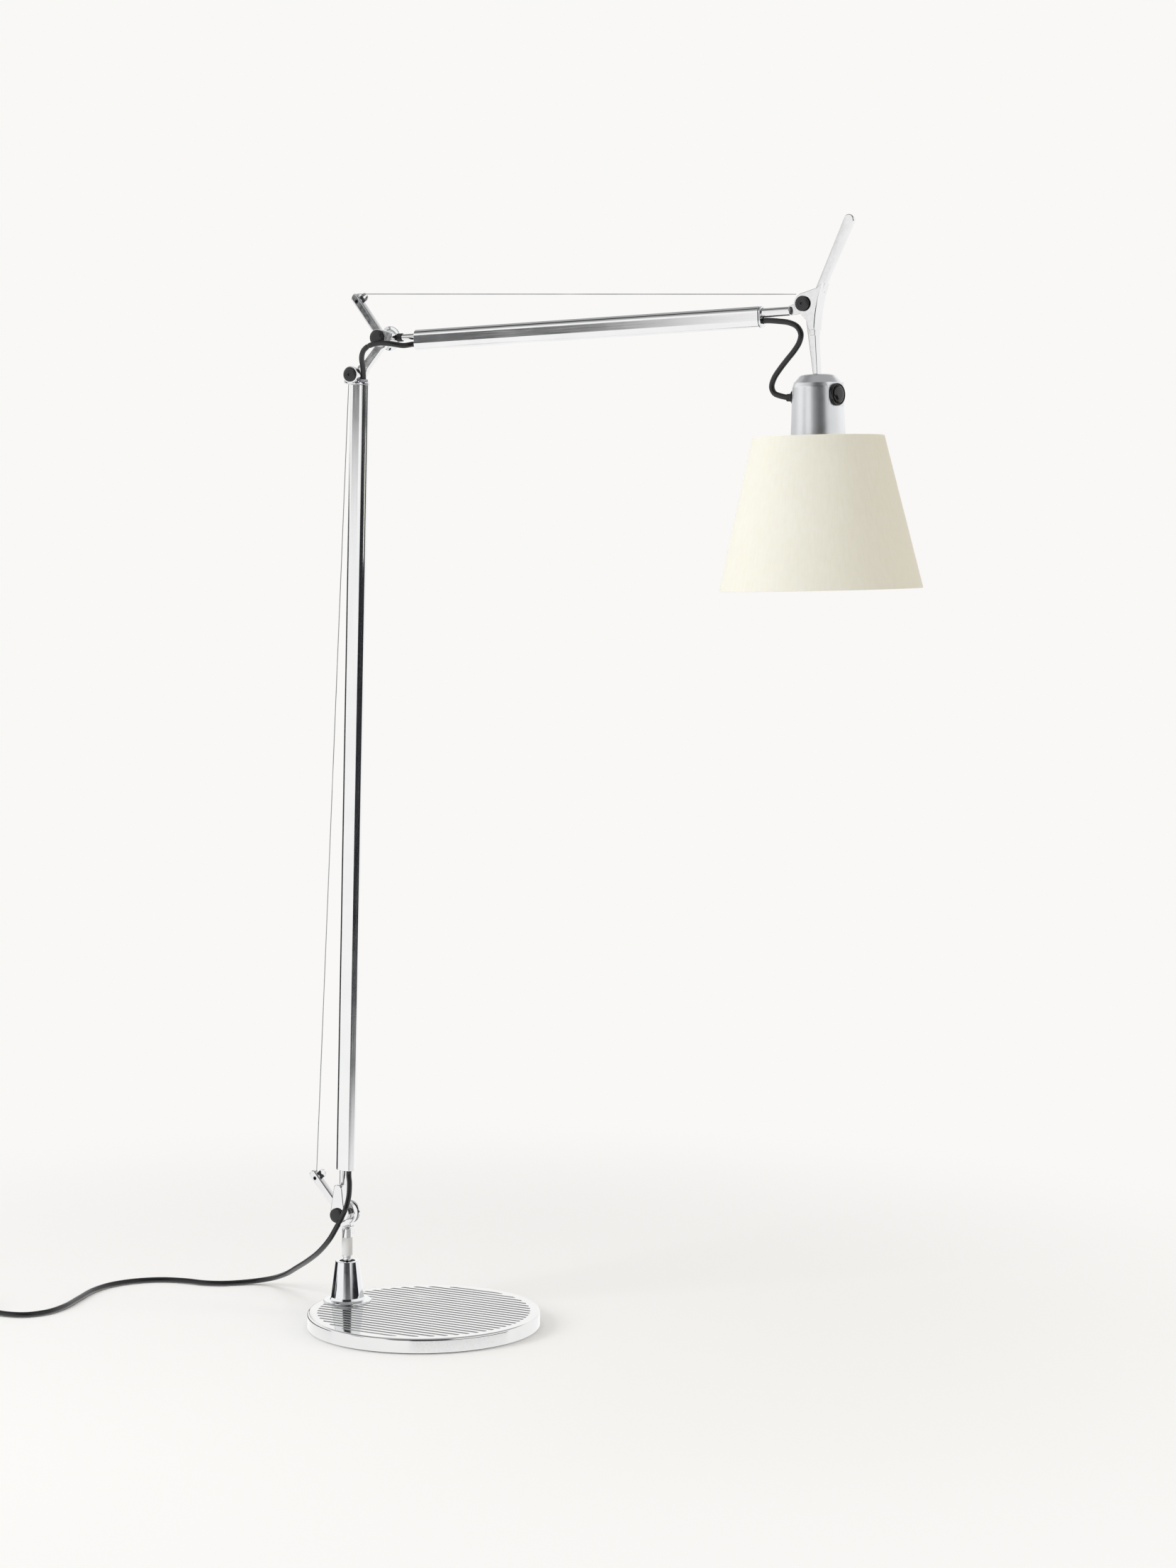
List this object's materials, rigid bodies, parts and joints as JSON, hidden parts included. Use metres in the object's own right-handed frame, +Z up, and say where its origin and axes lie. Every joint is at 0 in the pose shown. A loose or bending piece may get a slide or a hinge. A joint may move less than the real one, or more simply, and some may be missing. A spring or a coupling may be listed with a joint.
{
  "type": "adjustable arm floor lamp",
  "caption": "Reading floor lamp on a heavy grooved disc, with a swivel stem, two balanced arms of polished tube, a tilting head with handle and push switch, and a conical parchment shade",
  "frame": {"origin": "middle of the underside of the base pad, on the floor", "axes": "+Z up, +X the way the arms reach, -Y the side of the black hinge caps"},
  "size_m": [1.0327, 0.395, 1.0711],
  "materials": {
    "base_metal": "polished plated steel, straight grooves on top",
    "chrome": "mirror chrome",
    "polished_metal": "polished aluminium",
    "satin_metal": "satin aluminium",
    "steel": "plain steel",
    "black_steel": "blackened steel",
    "black_plastic": "satin black",
    "rubber": "matte black",
    "lead_sheath": "smooth black sheath",
    "clear_plastic": "pale translucent",
    "label_film": "blank film",
    "ceramic": "glazed",
    "parchment": "translucent parchment",
    "opal_glass": "opal"
  },
  "bodies": {
    "base": {"base_pad": "rubber", "base_disc": "base_metal", "cone_foot": "chrome", "base_bolt": "steel", "stem_bush": "black_plastic", "mains_lead": "lead_sheath", "mains_coil": "lead_sheath", "mains_plug": "black_plastic"},
    "stem": {"stem": "polished_metal", "stem_band": "label_film", "lower_lever": "polished_metal", "lower_set_screw": "black_steel", "lower_hinge_pin": "steel"},
    "lower_knob": {"lower_knob": "chrome"},
    "lower_arm": {"lower_hinge_cap": "black_plastic", "lower_knuckle": "polished_metal", "lower_arm_tube": "polished_metal", "lower_tube_plug": "satin_metal", "elbow_fitting": "polished_metal", "lead_ferrule": "clear_plastic", "lower_wire_roller": "steel", "lower_spring": "steel", "lower_arm_lead": "lead_sheath", "elbow_lower_pin": "steel", "elbow_lower_cap": "black_plastic", "elbow_lead": "lead_sheath"},
    "elbow_link": {"elbow_link": "polished_metal", "elbow_lever": "polished_metal", "elbow_set_screw": "black_steel", "elbow_upper_pin": "steel"},
    "elbow_knob": {"elbow_knob": "chrome"},
    "upper_arm": {"elbow_upper_cap": "black_plastic", "upper_knuckle": "polished_metal", "upper_rod_ring": "rubber", "upper_arm_tube": "polished_metal", "upper_rear_plug": "satin_metal", "upper_front_plug": "chrome", "upper_spring": "steel", "upper_arm_lead": "lead_sheath", "upper_front_rod": "polished_metal", "upper_wire_roller": "steel", "head_lead": "lead_sheath"},
    "head": {"head_pin": "steel", "head_cap": "black_plastic", "head_bracket": "polished_metal", "lamp_housing": "satin_metal", "neck_screw": "steel", "switch_ring": "black_plastic", "switch_body": "black_plastic", "lead_grommet": "rubber", "lamp_socket": "ceramic", "shade_carrier": "satin_metal", "shade_ring_nut": "ceramic", "shade": "parchment", "bulb": "opal_glass"},
    "switch_button": {"switch_button": "black_plastic"},
    "lower_wire_foot": {"lower_wire_foot": "steel"},
    "lower_wire_top": {"lower_wire_top": "steel"},
    "upper_wire_rear": {"upper_wire_rear": "steel"},
    "upper_wire_front": {"upper_wire_front": "steel"}
  },
  "joints": [
    {"name": "stem_swivel", "type": "hinge", "parent": "base", "child": "stem", "pos_m": [-0.09, 0, 0.0565], "axis": [0, 0, 1], "range_deg": [-150, 150], "deforming": ["mains_lead"]},
    {"name": "lower_arm_tilt", "type": "hinge", "parent": "stem", "child": "lower_arm", "pos_m": [-0.0944, 0, 0.1036], "axis": [0, 1, 0], "range_deg": [-14, 30], "deforming": ["mains_lead", "lower_wire_foot", "lower_wire_top"]},
    {"name": "elbow_fold", "type": "hinge", "parent": "lower_arm", "child": "elbow_link", "pos_m": [-0.07332, 0, 0.93734], "axis": [0, 1, 0], "range_deg": [-25, 24], "deforming": ["elbow_lead"]},
    {"name": "upper_arm_tilt", "type": "hinge", "parent": "elbow_link", "child": "upper_arm", "pos_m": [-0.04174, 0, 0.97241], "axis": [0, 1, 0], "range_deg": [-35, 30], "deforming": ["upper_wire_rear", "upper_wire_front"]},
    {"name": "head_tilt", "type": "hinge", "parent": "upper_arm", "child": "head", "pos_m": [0.41347, 0, 0.992], "axis": [0, 1, 0], "range_deg": [-60, 29], "deforming": ["head_lead"]},
    {"name": "switch_press", "type": "slide", "parent": "head", "child": "switch_button", "axis": [-0.9741, 0.225, -0.0238], "range_m": [0, 0.002], "stiffness_N_per_m": 800, "springref_m": -0.001},
    {"name": "lower_knob_turn", "type": "hinge", "parent": "stem", "child": "lower_knob", "pos_m": [-0.0944, 0, 0.1036], "axis": [0, 1, 0], "range_deg": [-90, 90]},
    {"name": "elbow_knob_turn", "type": "hinge", "parent": "elbow_link", "child": "elbow_knob", "pos_m": [-0.04174, 0, 0.97241], "axis": [0, 1, 0], "range_deg": [-90, 90]},
    {"name": "lower_wire_foot_turn", "type": "hinge", "parent": "stem", "child": "lower_wire_foot", "pos_m": [-0.1206, 0, 0.1433], "axis": [0, 1, 0], "range_deg": [-15.48, 32.13]},
    {"name": "lower_wire_top_turn", "type": "hinge", "parent": "lower_arm", "child": "lower_wire_top", "pos_m": [-0.08145, 0, 0.93287], "axis": [0, 1, 0], "range_deg": [-0.6, 1.25]},
    {"name": "upper_wire_rear_turn", "type": "hinge", "parent": "elbow_link", "child": "upper_wire_rear", "pos_m": [-0.06892, 0, 1.00799], "axis": [0, 1, 0], "range_deg": [-34.35, 29.62]},
    {"name": "upper_wire_front_turn", "type": "hinge", "parent": "upper_arm", "child": "upper_wire_front", "pos_m": [0.40247, 0, 1.001], "axis": [0, 1, 0], "range_deg": [-1.68, 1.95]}
  ],
  "couplings": [
    {"joint": "lower_wire_foot_turn", "follows": "lower_arm_tilt", "ratio": 1.0404},
    {"joint": "lower_wire_top_turn", "follows": "lower_arm_tilt", "ratio": 0.0404},
    {"joint": "upper_wire_rear_turn", "follows": "upper_arm_tilt", "ratio": 0.9464},
    {"joint": "upper_wire_front_turn", "follows": "upper_arm_tilt", "ratio": -0.0536}
  ]
}
